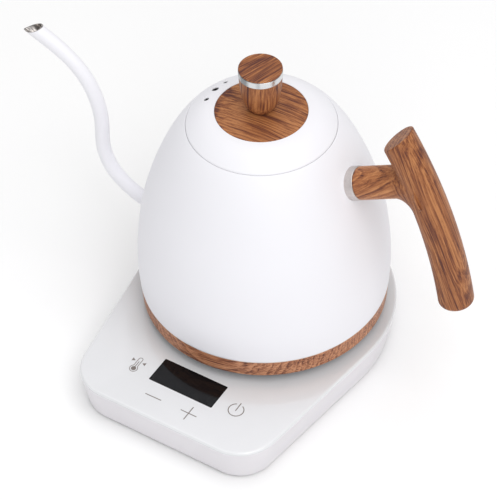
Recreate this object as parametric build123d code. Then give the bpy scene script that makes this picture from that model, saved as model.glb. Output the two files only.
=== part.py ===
from build123d import *
import os
from math import atan, cos, radians, sin, tan

# Electric gooseneck kettle standing on its own temperature-control base.
# Millimetres.  Z is up from the table, the touch controls face -Y and the axis of the
# round kettle is the Z axis.  The kettle pieces are drawn with the handle along +X and
# z = 0 just above the base, then turned and lifted onto the base together.

# ---- clearances ----
GAP = 0.3            # between pieces of different bodies
SEAT = 0.1           # between neighbouring pieces of one body
SLIP = 0.2           # round a pin or screw

# ---- base, outside ----
FOOT_H = 1.5
SKIRT_H = 25.5       # table side of the skirt to the top of the panel
BASE_TOP = FOOT_H + SKIRT_H
BASE_R = 82.2        # round back of the base, centred on the kettle axis
BASE_FRONT = 123.1   # axis to the straight front edge
SIDE_TAPER = 8.67    # degrees that each side closes towards the front
CORNER_R = 26.0
SKIRT_INSET = 4.0    # the skirt closes in this much from panel to table
SKIRT_WALL = 2.2
PANEL_T = 2.4
LIP_H = 3.0          # rib of the panel that locates it inside the skirt
PANEL_EDGE_R = 1.2
SKIRT_EDGE_R = 1.0
PLATE_T = 2.0
FOOT_R = 7.0
FOOT_SINK = 1.0

# ---- base, controls ----
WINDOW_W = 44.8
WINDOW_D = 19.0
WINDOW_Y = -88.6
WINDOW_T = 1.6
WINDOW_R = 0.8
KEY_SPOTS = ((-12.1, -108.5), (13.0, -108.4), (35.9, -91.2), (-35.0, -91.2))
KEY_R = 4.2
BOARD_T = 1.6
CONTROL_W = 90.0
CONTROL_D = 42.0
CONTROL_Y = -93.0
KEY_H = 4.0
KEY_WIRE = 0.9
MODULE_MARGIN = 2.0
BUZZER_R = 6.0
BUZZER_H = 7.5
BUZZER_X = -26.0
POWER_W = 78.0
POWER_D = 34.0
POWER_Y = 42.0
POWER_Z = FOOT_H + PLATE_T + 2.5
BASE_POSTS = ((-56.0, -68.0), (56.0, -68.0), (-52.0, 40.0), (52.0, 40.0))
POST_R = 3.6
SCREW_R = 1.5
SCREW_HEAD_R = 2.8
SCREW_HEAD_H = 1.4
SCREW_L = 14.0
CROSS_L = 3.2
CROSS_W = 0.7

# ---- 360 degree connector ----
PLUG_R = 11.0
PLUG_H = 12.5        # above the panel
PLUG_BORE_R = 4.0
PLUG_FLANGE_R = 22.0
PLUG_FLANGE_T = 2.5
SLOT_DEPTH = 4.0      # ring contact below the top of the plug
SLOT_R = 8.8
SLOT_W = 1.6
BORE_FLOOR = 2.0     # bottom of the plug's bore below the panel
GUARD_T = 2.6
GUARD_H = 8.5
PIN_R = 2.4
PIN_L = 10.5
SOCKET_WALL = 2.6
SOCKET_HEAD = 1.5    # free height above the plug
SOCKET_ROOF_T = 2.0
SOCKET_FLANGE_W = 5.0
SOCKET_FLANGE_T = 1.6
PIN_TIP_R = 1.2

# ---- cord outlet ----
CORD_R = 3.0
GLAND_R = 5.4
GLAND_FLANGE_R = 7.2
GLAND_FLANGE_T = 1.2
GLAND_Z = FOOT_H + 11.0

# ---- kettle body ----
KETTLE_TURN = 5.0    # handle direction, degrees from +X
KETTLE_LIFT = 3.74   # z = 0 of the kettle pieces above the base panel
WALL = 1.0
RING_BOTTOM = 3.2
RING_TOP = 15.3
RING_R_LOW = 76.2
RING_R_HIGH = 76.95
RING_W = 5.0
DOME = ((76.98, 15.9), (77.73, 29.3), (76.53, 51.1), (72.96, 74.1), (65.34, 99.7),
        (55.79, 121.3), (44.2, 138.3), (40.11, 142.2), (32.83, 146.5), (27.1, 147.8))
MOUTH_R = 44.35
LID_EDGE_R = MOUTH_R - GAP
NECK_H = 9.0
FLOOR_Z = 20.0
FLOOR_T = 1.0
FLOOR_R = 75.6
FLOOR_FLANGE_H = 4.0
PLATE_R = 56.0
PLATE_H = 3.0
COIL_R = 44.0
COIL_TUBE_R = 3.2
COIL_GAP = 50.0      # degrees left open between the cold ends
COIL_PIN_R = 1.6
COIL_PIN_H = 7.0
PLATE_BORE_R = 8.0
PROBE_R = 2.6
PROBE_TIP_R = 2.4
PROBE_H = 12.0       # above the lower side of the vessel floor
PROBE_ROOT_H = 6.0
PROBE_ROOT_R = 5.0
SEAL_R = 4.0
SEAL_LIP_R = 6.0
CUTOUT_R = 6.5
CUTOUT_H = 5.0
CUTOUT_SPOTS = ((0.0, 24.0), (0.0, -24.0))
COVER_R = 74.0
COVER_T = 1.8
COVER_RIM_R = 70.0
COVER_FOOT_R = 67.0
COVER_FOOT_W = 1.8
COVER_WALL_T = 1.4
COVER_WALL_H = 9.0
COVER_SCREW_L = 11.0
STUD_R = 3.0
STUD_RING_R = 62.0
STUD_COUNT = 3

# ---- spout ----
SPOUT_R = 4.5
SPOUT_WALL = 0.8
SPOUT_PATH = ((69.0, 35.5), (92.6, 47.3), (104.3, 59.2), (110.0, 77.3), (109.6, 94.4),
              (112.3, 115.0), (121.2, 132.9), (133.9, 144.7), (157.4, 157.8))
TIP = (151.9, 154.8)  # middle of the cut mouth
TIP_TILT = 22.6       # the cut faces up, leaning out this many degrees

# ---- handle ----
ARM_ROOT = (59.1, 113.9)
ARM_RISE = 25.1
ARM_R = 9.8
ARM_L = 43.0
COLLAR_R = 10.1
COLLAR_L = 5.2
GRIP_R = 10.5
GRIP_AXIS = ((80.0, 168.9), (110.6, 106.9), (126.9, 45.9))
GRIP_CUT = (84.6, 158.5)
GRIP_CUT_LEAN = 46.3  # the cut leans this far from level, down towards the kettle
GRIP_END_R = 3.0
HANDLE_STUD_R = 3.0
HANDLE_STUD_L = 30.0
BOSS_R = 7.5

# ---- lid and knob ----
LID_TURN = 168.5     # middle steam hole, degrees from the handle
LID_DROP = 7.0       # rim of the liner below the mouth
LINER_H = 11.0
LID_EDGE_H = 5.0
HUB_WALL = 3.0
LINER_INSET = 3.75   # the liner stands this far inside the mouth
GASKET_H = 4.0
VENT_INSET = 10.25   # middle of the steam holes inside the mouth
VENTS = ((-14.0, 1.3), (0.0, 2.1), (17.0, 1.5))
DISC_R = 27.1
DISC_T = 2.6
DISC_Z = 147.8
DISC_CROWN = 1.8     # the middle of the disc stands this much above its rim
KNOB_PROFILE = ((6.5, 149.7), (9.2, 153.6), (11.1, 159.7), (12.1, 167.0), (12.6, 174.6))
BAND_Z = 174.6
BAND_H = 4.2
BAND_R = 12.8
CAP_R = 12.7
CAP_TOP = 179.8
CAP_EDGE_R = 0.6
BAND_EDGE_R = 0.4
KNOB_STUD_R = 2.0
NUT_R = 4.0
NUT_H = 3.0
STUD_TOP = 164.0

KETTLE_Z = BASE_TOP + KETTLE_LIFT
LINER_R = MOUTH_R - LINER_INSET
VENT_RING_R = MOUTH_R - VENT_INSET
FOOT_SPOTS = ((-54.0, -90.0), (54.0, -90.0), (-40.0, 52.0), (40.0, 52.0), (0.0, 0.0))


def turned(points):
    """Solid of revolution about Z from a closed outline of (radius, height) points."""
    return revolve(Plane.XZ * make_face(Polyline(*points, close=True)), Axis.Z)


def rod(radius, bottom, top):
    """Upright cylinder on the Z axis between two heights."""
    return Pos(0, 0, bottom) * Cylinder(radius, top - bottom, align=(Align.CENTER, Align.CENTER, Align.MIN))


def pipe(outer, inner, bottom, top):
    """Upright tube on the Z axis between two heights."""
    return rod(outer, bottom, top) - rod(inner, bottom - 1, top + 1)


def slab(width, depth, bottom, top):
    """Upright block on the Z axis between two heights."""
    return Pos(0, 0, bottom) * Box(width, depth, top - bottom, align=(Align.CENTER, Align.CENTER, Align.MIN))


def spread(shape, spots):
    """The same piece at every (x, y) spot, as separate solids."""
    return Compound(children=[Pos(x, y, 0) * shape for x, y in spots])


def joined(shapes):
    """One body from shapes that touch or overlap."""
    whole = shapes[0]
    for shape in shapes[1:]:
        whole += shape
    return whole


def ring_spots(radius, count, start):
    """Equally spaced (x, y) spots on a circle."""
    step = 360 / count
    angles = [radians(start + step * i) for i in range(count)]
    return [(radius * cos(a), radius * sin(a)) for a in angles]


# ------------------------------------------------------------------ base

def base_outline(inset):
    """Plan of the base: a round back, two sides closing forwards, rounded front corners."""
    radius = BASE_R - inset
    front = BASE_FRONT - inset
    side = radians(SIDE_TAPER)
    touch = (radius * cos(side), -radius * sin(side))
    corner = (touch[0] - (front + touch[1]) * tan(side), -front)
    wedge = make_face(Polyline(touch, corner, (-corner[0], -front), (-touch[0], touch[1]), close=True))
    plan = Circle(radius) + wedge
    corners = plan.vertices().group_by(Axis.Y)[0]
    return fillet(corners, CORNER_R - inset)


def skirt_inset(height):
    """How far the skirt stands inside the panel outline at a height above the table."""
    return SKIRT_INSET * (BASE_TOP - height) / SKIRT_H


def base_block(bottom, top, shell):
    """Solid filling the base between two heights, shell mm inside the outer skirt."""
    low = Pos(0, 0, bottom) * base_outline(skirt_inset(bottom) + shell)
    high = Pos(0, 0, top) * base_outline(skirt_inset(top) + shell)
    return loft([low, high], ruled=True)


def gland_axis():
    """Plane on the back of the skirt, square to it, for the cord outlet."""
    back = BASE_R - skirt_inset(GLAND_Z)
    lean = atan(SKIRT_INSET / SKIRT_H)
    return Plane(origin=(0, back, GLAND_Z), x_dir=(1, 0, 0), z_dir=(0, cos(lean), -sin(lean)))


def base_housing():
    top = BASE_TOP - PANEL_T
    outer = base_block(FOOT_H, top, 0)
    outer = fillet(outer.edges().group_by(Axis.Z)[0], SKIRT_EDGE_R)
    inner = base_block(FOOT_H - 1, top + 1, SKIRT_WALL)
    hole = gland_axis() * Cylinder(GLAND_R + SEAT, 12)
    return outer - inner - hole


def top_panel():
    bottom = BASE_TOP - PANEL_T + SEAT
    sheet = base_block(bottom, BASE_TOP, 0)
    sheet = fillet(sheet.edges().group_by(Axis.Z)[-1], PANEL_EDGE_R)
    lip = base_block(bottom - LIP_H, bottom, SKIRT_WALL + SLIP)
    lip -= base_block(bottom - LIP_H - 1, bottom + 1, 2 * SKIRT_WALL)
    post = rod(POST_R, FOOT_H + PLATE_T + SEAT, bottom + 0.5)
    posts = [Pos(x, y, 0) * post for x, y in BASE_POSTS]
    panel = joined([sheet, lip] + posts)
    panel -= rod(PLUG_R + GUARD_T + 3 * GAP, bottom - 1, BASE_TOP + 1)
    panel -= Pos(0, WINDOW_Y, 0) * slab(WINDOW_W + 2 * SEAT, WINDOW_D + 2 * SEAT, bottom - 1, BASE_TOP + 1)
    bores = [Pos(x, y, 0) * rod(SCREW_R - SEAT, FOOT_H, FOOT_H + SCREW_L + 2) for x, y in BASE_POSTS]
    return panel - joined(bores)


def display_window():
    pane = slab(WINDOW_W, WINDOW_D, BASE_TOP - WINDOW_T, BASE_TOP)
    pane = fillet(pane.edges().filter_by(Axis.Z), WINDOW_R)
    return Pos(0, WINDOW_Y, 0) * pane


def control_top():
    """Upper face of the control board, below the springs of the touch keys."""
    return BASE_TOP - PANEL_T - KEY_H


def display_module():
    width = WINDOW_W - 2 * MODULE_MARGIN
    depth = WINDOW_D - 2 * MODULE_MARGIN
    body = slab(width, depth, control_top() + SEAT, BASE_TOP - WINDOW_T - SEAT)
    return Pos(0, WINDOW_Y, 0) * body


def control_board():
    top = control_top()
    sheet = slab(CONTROL_W, CONTROL_D, top - BOARD_T, top)
    sheet = chamfer(sheet.edges().filter_by(Axis.Z), 6)
    return Pos(0, CONTROL_Y, 0) * sheet


def touch_springs():
    """Four small coil springs that carry each key's field up to the panel."""
    bottom = control_top() + SEAT
    top = BASE_TOP - PANEL_T
    return spread(pipe(KEY_R, KEY_R - KEY_WIRE, bottom, top), KEY_SPOTS)


def buzzer():
    top = control_top() - BOARD_T - SEAT
    can = rod(BUZZER_R, top - BUZZER_H, top) - rod(1.0, top - BUZZER_H - 1, top - BUZZER_H / 2)
    return Pos(BUZZER_X, CONTROL_Y, 0) * can


def power_board():
    sheet = slab(POWER_W, POWER_D, POWER_Z, POWER_Z + BOARD_T)
    sheet = chamfer(sheet.edges().filter_by(Axis.Z), 4)
    return Pos(0, POWER_Y, 0) * sheet


def on_power_board(x, y, shape):
    """Put a piece drawn from z = 0 on top of the power board."""
    return Pos(x, POWER_Y + y, POWER_Z + BOARD_T + SEAT) * shape


def relay():
    body = slab(15.5, 19.5, 0, 14.0)
    return on_power_board(-24, 0, fillet(body.edges().group_by(Axis.Z)[-1], 0.8))


def transformer():
    core = slab(19, 16, 0, 3) + slab(19, 16, 11, 14)
    return on_power_board(22, 2, core + rod(7, 1, 13))


def capacitor():
    can = fillet(rod(5.5, 0, 15).edges().group_by(Axis.Z)[-1], 0.8)
    return on_power_board(-4, 6, can)


def base_connector():
    """Fixed half of the 360 degree connector, standing up through the panel."""
    under = BASE_TOP - PANEL_T
    stem = rod(PLUG_R, under - 12, BASE_TOP + PLUG_H)
    stem = fillet(stem.edges().group_by(Axis.Z)[-1], 1.2)
    flange = rod(PLUG_FLANGE_R, under - PLUG_FLANGE_T, under)
    plug = stem + flange
    plug -= rod(PLUG_BORE_R, BASE_TOP - BORE_FLOOR, BASE_TOP + PLUG_H + 1)
    slot = pipe(SLOT_R, SLOT_R - SLOT_W, BASE_TOP + PLUG_H - SLOT_DEPTH, BASE_TOP + PLUG_H + 1)
    return plug - slot


def connector_contacts():
    """Ring contact and centre contact inside the fixed half."""
    floor = BASE_TOP + PLUG_H - SLOT_DEPTH + SEAT
    band = pipe(SLOT_R - SLIP, SLOT_R - SLOT_W + SLIP, floor, floor + SLOT_DEPTH / 2)
    spot = rod(PLUG_BORE_R - SLIP, BASE_TOP - BORE_FLOOR + SEAT, BASE_TOP - BORE_FLOOR / 2)
    return Compound(children=[band, spot])


def bottom_plate():
    top = FOOT_H + PLATE_T
    plate = base_block(FOOT_H, top, SKIRT_WALL + SLIP)
    pocket = rod(FOOT_R + SEAT, FOOT_H - 1, FOOT_H + FOOT_SINK)
    plate -= joined([Pos(x, y, 0) * pocket for x, y in FOOT_SPOTS])
    head = rod(SCREW_HEAD_R + SLIP, FOOT_H - 1, FOOT_H + SCREW_HEAD_H)
    holes = [Pos(x, y, 0) * (head + rod(SCREW_R + SLIP, FOOT_H - 1, top + 1)) for x, y in BASE_POSTS]
    return plate - joined(holes)


def screw(length):
    """Pan-head screw standing on its head at z = 0, with a cross slot."""
    head = rod(SCREW_HEAD_R, 0, SCREW_HEAD_H)
    cross = slab(CROSS_L, CROSS_W, -SEAT, CROSS_W) + slab(CROSS_W, CROSS_L, -SEAT, CROSS_W)
    return head + rod(SCREW_R - 2 * SEAT, 0, length) - cross


def bottom_screws():
    return spread(Pos(0, 0, FOOT_H) * screw(SCREW_L), BASE_POSTS)


def feet():
    pad = rod(FOOT_R, 0, FOOT_H + FOOT_SINK - SEAT)
    pad = fillet(pad.edges().group_by(Axis.Z)[0], 0.6)
    return spread(pad, FOOT_SPOTS)


def cord_gland():
    """Ring in the back of the skirt where the supply cord comes out."""
    body = rod(GLAND_R, -SKIRT_WALL - 6, SEAT)
    flange = rod(GLAND_FLANGE_R, SEAT, SEAT + GLAND_FLANGE_T)
    flange = fillet(flange.edges().group_by(Axis.Z)[-1], 0.5)
    ring = body + flange - rod(CORD_R, -SKIRT_WALL - 8, GLAND_FLANGE_T + 1)
    return gland_axis() * ring


def cord_clamp():
    """Bridge that grips the cord just inside the gland."""
    block = slab(26, 7, 0, GLAND_Z + CORD_R + 2.5 - FOOT_H - PLATE_T - SEAT)
    bridge = Pos(0, 64, FOOT_H + PLATE_T + SEAT) * block
    bore = Pos(0, 64, GLAND_Z) * Rot(90, 0, 0) * Cylinder(CORD_R, 10)
    return bridge - bore


# ------------------------------------------------------------------ connector guard

def connector_guard():
    """Loose sleeve round the fixed plug; the kettle turns on it."""
    inner = PLUG_R + GAP
    sleeve = pipe(inner + GUARD_T, inner, BASE_TOP + GAP, BASE_TOP + GUARD_H)
    sleeve = chamfer(sleeve.edges().group_by(Axis.Z)[-1], 0.6)
    return sleeve


# ------------------------------------------------------------------ kettle

def dome_points(inset):
    """The body outline moved inwards along its own normal."""
    moved = []
    last = len(DOME) - 1
    for i, (r, z) in enumerate(DOME):
        r0, z0 = DOME[max(i - 1, 0)]
        r1, z1 = DOME[min(i + 1, last)]
        length = ((r1 - r0) ** 2 + (z1 - z0) ** 2) ** 0.5
        moved.append((r - inset * (z1 - z0) / length, z + inset * (r1 - r0) / length))
    return moved


def mouth_height():
    """Height of the body outline where the lid's mouth cuts it."""
    after = [r < MOUTH_R for r, z in DOME].index(True)
    (r0, z0), (r1, z1) = DOME[after - 1], DOME[after]
    return z0 + (z1 - z0) * (r0 - MOUTH_R) / (r0 - r1)


def dome(inset):
    """Solid under the body outline, from the wooden ring to the lid disc."""
    points = dome_points(inset)
    curve = Spline(*points)
    top = Line(points[-1], (0, points[-1][1]))
    axis = Line((0, points[-1][1]), (0, points[0][1]))
    foot = Line((0, points[0][1]), points[0])
    return revolve(Plane.XZ * make_face([curve, top, axis, foot]), Axis.Z)


def dome_shell():
    """Body and lid skin in one, WALL thick and open at the bottom."""
    return dome(0) - dome(WALL) - rod(DOME[0][0] - WALL - 0.2, 0, FLOOR_Z)


def spout_line():
    return Spline(*[(-r, 0, z) for r, z in SPOUT_PATH])


def swept(path, radius):
    """Round bar along a path."""
    return sweep(Plane(origin=path @ 0, z_dir=path % 0) * Circle(radius), path)


def kettle_shell():
    body = dome_shell() - rod(MOUTH_R, MOUTH_R, 200)
    neck_top = mouth_height() - 0.1
    neck = pipe(MOUTH_R + WALL, MOUTH_R, neck_top - NECK_H, neck_top - 0.6)
    body += neck
    return body - swept(spout_line(), SPOUT_R + SEAT)


def vessel_floor():
    top = FLOOR_Z + FLOOR_T
    dish = rod(FLOOR_R, FLOOR_Z, top) + pipe(FLOOR_R, FLOOR_R - FLOOR_T, FLOOR_Z - FLOOR_FLANGE_H, top)
    return dish - rod(SEAL_R + SEAT, FLOOR_Z - 1, top + 1)


def heat_plate():
    plate = rod(PLATE_R, FLOOR_Z - PLATE_H - SEAT, FLOOR_Z - SEAT)
    return plate - rod(PLATE_BORE_R, 0, FLOOR_Z)


def heating_element():
    """Open ring of sheathed tube brazed under the plate, with two cold ends."""
    z = FLOOR_Z - PLATE_H - 2 * SEAT - COIL_TUBE_R
    path = CenterArc((0, 0, z), COIL_R, COIL_GAP / 2, 360 - COIL_GAP)
    ring = swept(path, COIL_TUBE_R)
    end = rod(COIL_PIN_R, z - COIL_PIN_H, z)
    a = radians(COIL_GAP / 2 + 3)
    ends = [Pos(COIL_R * cos(a), side * COIL_R * sin(a), 0) * end for side in (1, -1)]
    return joined([ring] + ends)


def temperature_probe():
    """Sealed sensor tip standing up through the vessel floor."""
    root = FLOOR_Z - PROBE_ROOT_H
    tip = rod(PROBE_R, root, FLOOR_Z + PROBE_H)
    tip = fillet(tip.edges().group_by(Axis.Z)[-1], PROBE_TIP_R)
    return tip + rod(PROBE_ROOT_R, root, root + 2)


def probe_seal():
    inner = PROBE_R + SEAT
    top = FLOOR_Z + FLOOR_T
    sleeve = pipe(SEAL_R, inner, FLOOR_Z - 2, top + 1)
    lip = pipe(SEAL_LIP_R, inner, top + SEAT, top + 2)
    return sleeve + lip


def thermal_cutout():
    """Two boil-dry discs held against the plate."""
    top = FLOOR_Z - PLATE_H - 2 * SEAT
    return spread(rod(CUTOUT_R, top - CUTOUT_H, top), CUTOUT_SPOTS)


def wood_ring():
    inner = RING_R_LOW - RING_W
    outside = [(RING_R_LOW, RING_BOTTOM), (RING_R_HIGH, RING_TOP)]
    return turned([(inner, RING_BOTTOM)] + outside + [(inner, RING_TOP)])


def ring_trim():
    """Bright ring between the wood and the white body."""
    bottom = RING_TOP + SEAT / 2
    return pipe(RING_R_HIGH + 0.05, RING_R_LOW - RING_W, bottom, DOME[0][1] - SEAT / 2)


def socket_inner():
    """Inside radius of the kettle's connector socket."""
    return PLUG_R + GAP + GUARD_T + 2 * GAP


def socket_roof():
    """Height of the socket's inner roof in the kettle."""
    return PLUG_H - KETTLE_LIFT + SOCKET_HEAD


def bottom_cover():
    foot = GAP - KETTLE_LIFT
    under = RING_BOTTOM - COVER_T
    disc = rod(COVER_R, under, RING_BOTTOM - SEAT)
    wall = pipe(COVER_RIM_R, COVER_RIM_R - COVER_WALL_T, under, RING_BOTTOM + COVER_WALL_H)
    rim = pipe(COVER_FOOT_R, COVER_FOOT_R - COVER_FOOT_W, foot, RING_BOTTOM - COVER_T / 2)
    cover = joined([disc, wall, rim])
    cover -= rod(socket_inner() + SOCKET_WALL + SEAT, foot - 1, RING_BOTTOM + 1)
    spots = ring_spots(STUD_RING_R, STUD_COUNT, 90)
    return cover - joined([Pos(x, y, 0) * rod(SCREW_R + SLIP, foot, RING_BOTTOM + 1) for x, y in spots])


def cover_studs():
    """Threaded posts welded under the vessel floor."""
    post = rod(STUD_R, RING_BOTTOM, FLOOR_Z - SEAT)
    post -= rod(SCREW_R - SEAT, 0, RING_BOTTOM + COVER_SCREW_L)
    return spread(post, ring_spots(STUD_RING_R, STUD_COUNT, 90))


def cover_screws():
    under = Pos(0, 0, RING_BOTTOM - COVER_T - SCREW_HEAD_H) * screw(COVER_SCREW_L)
    return spread(under, ring_spots(STUD_RING_R, STUD_COUNT, 90))


def kettle_socket():
    """Kettle half of the 360 degree connector, open downwards."""
    inner = socket_inner()
    roof = socket_roof()
    under = RING_BOTTOM - COVER_T
    cup = rod(inner + SOCKET_WALL, under, roof + SOCKET_ROOF_T) - rod(inner, under - 1, roof)
    outer = inner + SOCKET_WALL + SOCKET_FLANGE_W
    flange = pipe(outer, inner + SOCKET_WALL - 1, RING_BOTTOM, RING_BOTTOM + SOCKET_FLANGE_T)
    return cup + flange - rod(PIN_R + SEAT, roof - 1, roof + 4)


def socket_pin():
    """Centre contact that enters the bore of the fixed plug."""
    roof = socket_roof()
    pin = rod(PIN_R, roof - PIN_L, roof + SOCKET_ROOF_T + 1)
    return fillet(pin.edges().group_by(Axis.Z)[0], PIN_TIP_R)


def spout_tube():
    path = spout_line()
    tube = swept(path, SPOUT_R) - swept(path, SPOUT_R - SPOUT_WALL)
    lean = radians(TIP_TILT)
    cut = Plane(origin=(-TIP[0], 0, TIP[1]), z_dir=(-sin(lean), 0, cos(lean)))
    tube = split(tube, bisect_by=cut, keep=Keep.BOTTOM)
    return tube - dome(2 * WALL)


def arm_plane():
    """Plane on the body where the handle arm leaves it, Z along the arm."""
    rise = radians(ARM_RISE)
    return Plane(origin=(ARM_ROOT[0], 0, ARM_ROOT[1]), x_dir=(0, 1, 0), z_dir=(cos(rise), 0, sin(rise)))


def along_arm(radius, start, end):
    """Round bar on the arm axis, measured outwards from the body."""
    return arm_plane() * rod(radius, start, end)


def grip():
    """Curved round bar of the handle, cut at a slant on top and rounded below."""
    path = ThreePointArc(*[(r, 0, z) for r, z in GRIP_AXIS])
    bar = swept(path, GRIP_R)
    bar = fillet(bar.edges().sort_by(Axis.Z)[0], GRIP_END_R)
    lean = radians(GRIP_CUT_LEAN)
    cut = Plane(origin=(GRIP_CUT[0], 0, GRIP_CUT[1]), z_dir=(-sin(lean), 0, cos(lean)))
    return split(bar, bisect_by=cut, keep=Keep.BOTTOM)


def handle_wood():
    arm = along_arm(ARM_R, COLLAR_L + SEAT, ARM_L)
    bore = along_arm(HANDLE_STUD_R + SEAT, 0, HANDLE_STUD_L + SLIP)
    return grip() + arm - bore


def handle_collar():
    ring = along_arm(COLLAR_R, -8, COLLAR_L) - along_arm(BOSS_R + SEAT, -9, COLLAR_L + 1)
    return ring - dome(-SEAT / 2)


def handle_boss():
    """Disc welded to the body inside the collar; the handle stud screws into it."""
    disc = along_arm(BOSS_R, -8, COLLAR_L) - dome(-SEAT / 2)
    return disc - along_arm(HANDLE_STUD_R + SEAT, -9, COLLAR_L + 1)


def handle_stud():
    return along_arm(HANDLE_STUD_R, 0.5, HANDLE_STUD_L) - dome(-SEAT)


# ------------------------------------------------------------------ lid

def vent_holes():
    """Steam holes through the lid, on the side away from the handle."""
    holes = []
    for turn, radius in VENTS:
        a = radians(LID_TURN + turn)
        holes.append(Pos(VENT_RING_R * cos(a), VENT_RING_R * sin(a), 0) * rod(radius, 100, 160))
    return joined(holes)


def lid_cap():
    skin = dome_shell() & rod(LID_EDGE_R, 100, 200)
    skirt_top = mouth_height() - 0.4
    skirt = pipe(LID_EDGE_R, LID_EDGE_R - WALL, skirt_top - LID_EDGE_H, skirt_top)
    inner = DISC_R + SEAT
    tray_z = DISC_Z - DISC_T - SEAT
    pocket = rod(inner, tray_z, 200)
    tray = rod(inner + WALL, tray_z - WALL, tray_z)
    tray += pipe(inner + WALL, inner, tray_z - WALL, DISC_Z - WALL / 2)
    cap = joined([skin, skirt]) - pocket + tray
    return cap - vent_holes() - rod(KNOB_STUD_R + SLIP, 100, 200)


def liner_top():
    """Height of the liner's rim."""
    return mouth_height() - LID_DROP


def liner_floor():
    """Height of the underside of the lid liner."""
    return liner_top() - LINER_H


def lid_liner():
    """Inner cup that closes the underside of the lid."""
    top = liner_top()
    bottom = liner_floor()
    cup = rod(LINER_R, bottom, top) - rod(LINER_R - WALL, bottom + WALL, top + 1)
    rim = pipe(LID_EDGE_R - WALL - SEAT, LINER_R - WALL, top - WALL, top)
    hub_top = DISC_Z - DISC_T - WALL - 3 * SEAT
    hub = pipe(KNOB_STUD_R + HUB_WALL, KNOB_STUD_R + SLIP, bottom, hub_top)
    return cup + rim + hub - vent_holes() - rod(KNOB_STUD_R + SLIP, 100, 160)


def lid_gasket():
    """Silicone ring round the liner that grips the mouth."""
    top = liner_top() - WALL - SEAT
    inner = LINER_R + SEAT
    outer = MOUTH_R - GAP
    return turned([(inner, top), (outer - 1.2, top), (outer, top - 1), (outer - 1.2, top - 2),
                   (outer, top - 3), (outer - 1.2, top - GASKET_H), (inner, top - GASKET_H)])


def lid_disc():
    """Wooden disc with a slightly crowned face."""
    low = DISC_Z - DISC_T
    middle = (0, DISC_Z + DISC_CROWN)
    rim = (DISC_R, DISC_Z)
    face = ThreePointArc(middle, (DISC_R / 2, DISC_Z + 3 * DISC_CROWN / 4), rim)
    sides = [Line(rim, (DISC_R, low)), Line((DISC_R, low), (0, low)), Line((0, low), middle)]
    disc = revolve(Plane.XZ * make_face([face] + sides), Axis.Z)
    return disc - rod(KNOB_STUD_R + SLIP, 100, 200)


def knob_body():
    """Waisted wooden stem of the knob."""
    low = DISC_Z + DISC_CROWN + SEAT
    first = (KNOB_PROFILE[0][0], low)
    side = Spline(first, *KNOB_PROFILE[1:])
    top = Line(KNOB_PROFILE[-1], (0, BAND_Z))
    axis = Line((0, BAND_Z), (0, low))
    foot = Line((0, low), first)
    body = revolve(Plane.XZ * make_face([side, top, axis, foot]), Axis.Z)
    return body - rod(KNOB_STUD_R + SEAT, 100, STUD_TOP + 1)


def knob_band():
    band = rod(BAND_R, BAND_Z + SEAT, BAND_Z + BAND_H)
    return fillet(band.edges(), BAND_EDGE_R)


def knob_cap():
    cap = rod(CAP_R, BAND_Z + BAND_H + SEAT, CAP_TOP)
    return fillet(cap.edges().group_by(Axis.Z)[-1], CAP_EDGE_R)


def knob_stud():
    return rod(KNOB_STUD_R, liner_floor() - NUT_H - 1, STUD_TOP)


def knob_nut():
    bottom = liner_floor() - NUT_H
    nut = Pos(0, 0, bottom) * extrude(RegularPolygon(NUT_R, 6), NUT_H - SEAT)
    return nut - rod(KNOB_STUD_R + SEAT / 2, bottom - 1, bottom + NUT_H + 1)


BASE_PIECES = (base_housing, top_panel, display_window, display_module, control_board,
               touch_springs, buzzer, power_board, relay, transformer, capacitor, base_connector,
               connector_contacts, bottom_plate, bottom_screws, feet, cord_gland, cord_clamp,
               connector_guard)

KETTLE_PIECES = (kettle_shell, vessel_floor, heat_plate, heating_element, temperature_probe,
                 probe_seal, thermal_cutout, wood_ring, ring_trim, bottom_cover, cover_studs,
                 cover_screws, kettle_socket, socket_pin, spout_tube, handle_wood, handle_collar,
                 handle_boss, handle_stud, lid_cap, lid_liner, lid_gasket, lid_disc, knob_body,
                 knob_band, knob_cap, knob_stud, knob_nut)

os.makedirs("parts", exist_ok=True)
for piece in BASE_PIECES:
    export_step(piece(), "parts/" + piece.__name__ + ".step")
kettle_place = Pos(0, 0, KETTLE_Z) * Rot(0, 0, KETTLE_TURN)
for piece in KETTLE_PIECES:
    export_step(kettle_place * piece(), "parts/" + piece.__name__ + ".step")
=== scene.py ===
import bpy
import math
import numpy as np
from mathutils import Matrix, Vector


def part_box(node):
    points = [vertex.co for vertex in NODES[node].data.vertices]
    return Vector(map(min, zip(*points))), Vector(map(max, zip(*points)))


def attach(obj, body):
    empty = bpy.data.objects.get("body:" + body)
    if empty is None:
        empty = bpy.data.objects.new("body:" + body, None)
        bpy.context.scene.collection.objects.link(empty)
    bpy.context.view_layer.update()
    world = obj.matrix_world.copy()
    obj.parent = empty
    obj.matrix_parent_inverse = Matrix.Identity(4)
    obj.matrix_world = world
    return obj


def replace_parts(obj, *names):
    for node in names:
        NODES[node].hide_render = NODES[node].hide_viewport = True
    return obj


# A white gooseneck kettle with wooden handle, knob and foot ring, on its flat base.
# Lengths are in metres.  Sizes named MM are millimetres and are turned to metres by mm().
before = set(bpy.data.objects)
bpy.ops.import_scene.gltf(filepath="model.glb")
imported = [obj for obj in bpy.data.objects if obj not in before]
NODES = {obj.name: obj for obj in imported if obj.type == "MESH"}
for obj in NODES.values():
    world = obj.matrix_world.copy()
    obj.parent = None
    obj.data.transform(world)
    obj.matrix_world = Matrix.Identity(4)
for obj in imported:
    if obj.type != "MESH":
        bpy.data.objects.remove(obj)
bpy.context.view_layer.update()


def mm(value):
    """Millimetres to metres, for numbers and arrays."""
    return np.asarray(value, float) / 1000


def coords(*parts):
    """Coordinates put together, one point from each place of the arrays."""
    return np.stack(parts, axis=-1)


def around(count):
    """Angles of equally spaced places round a circle."""
    return np.linspace(0, 2 * math.pi, count, endpoint=False)


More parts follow.
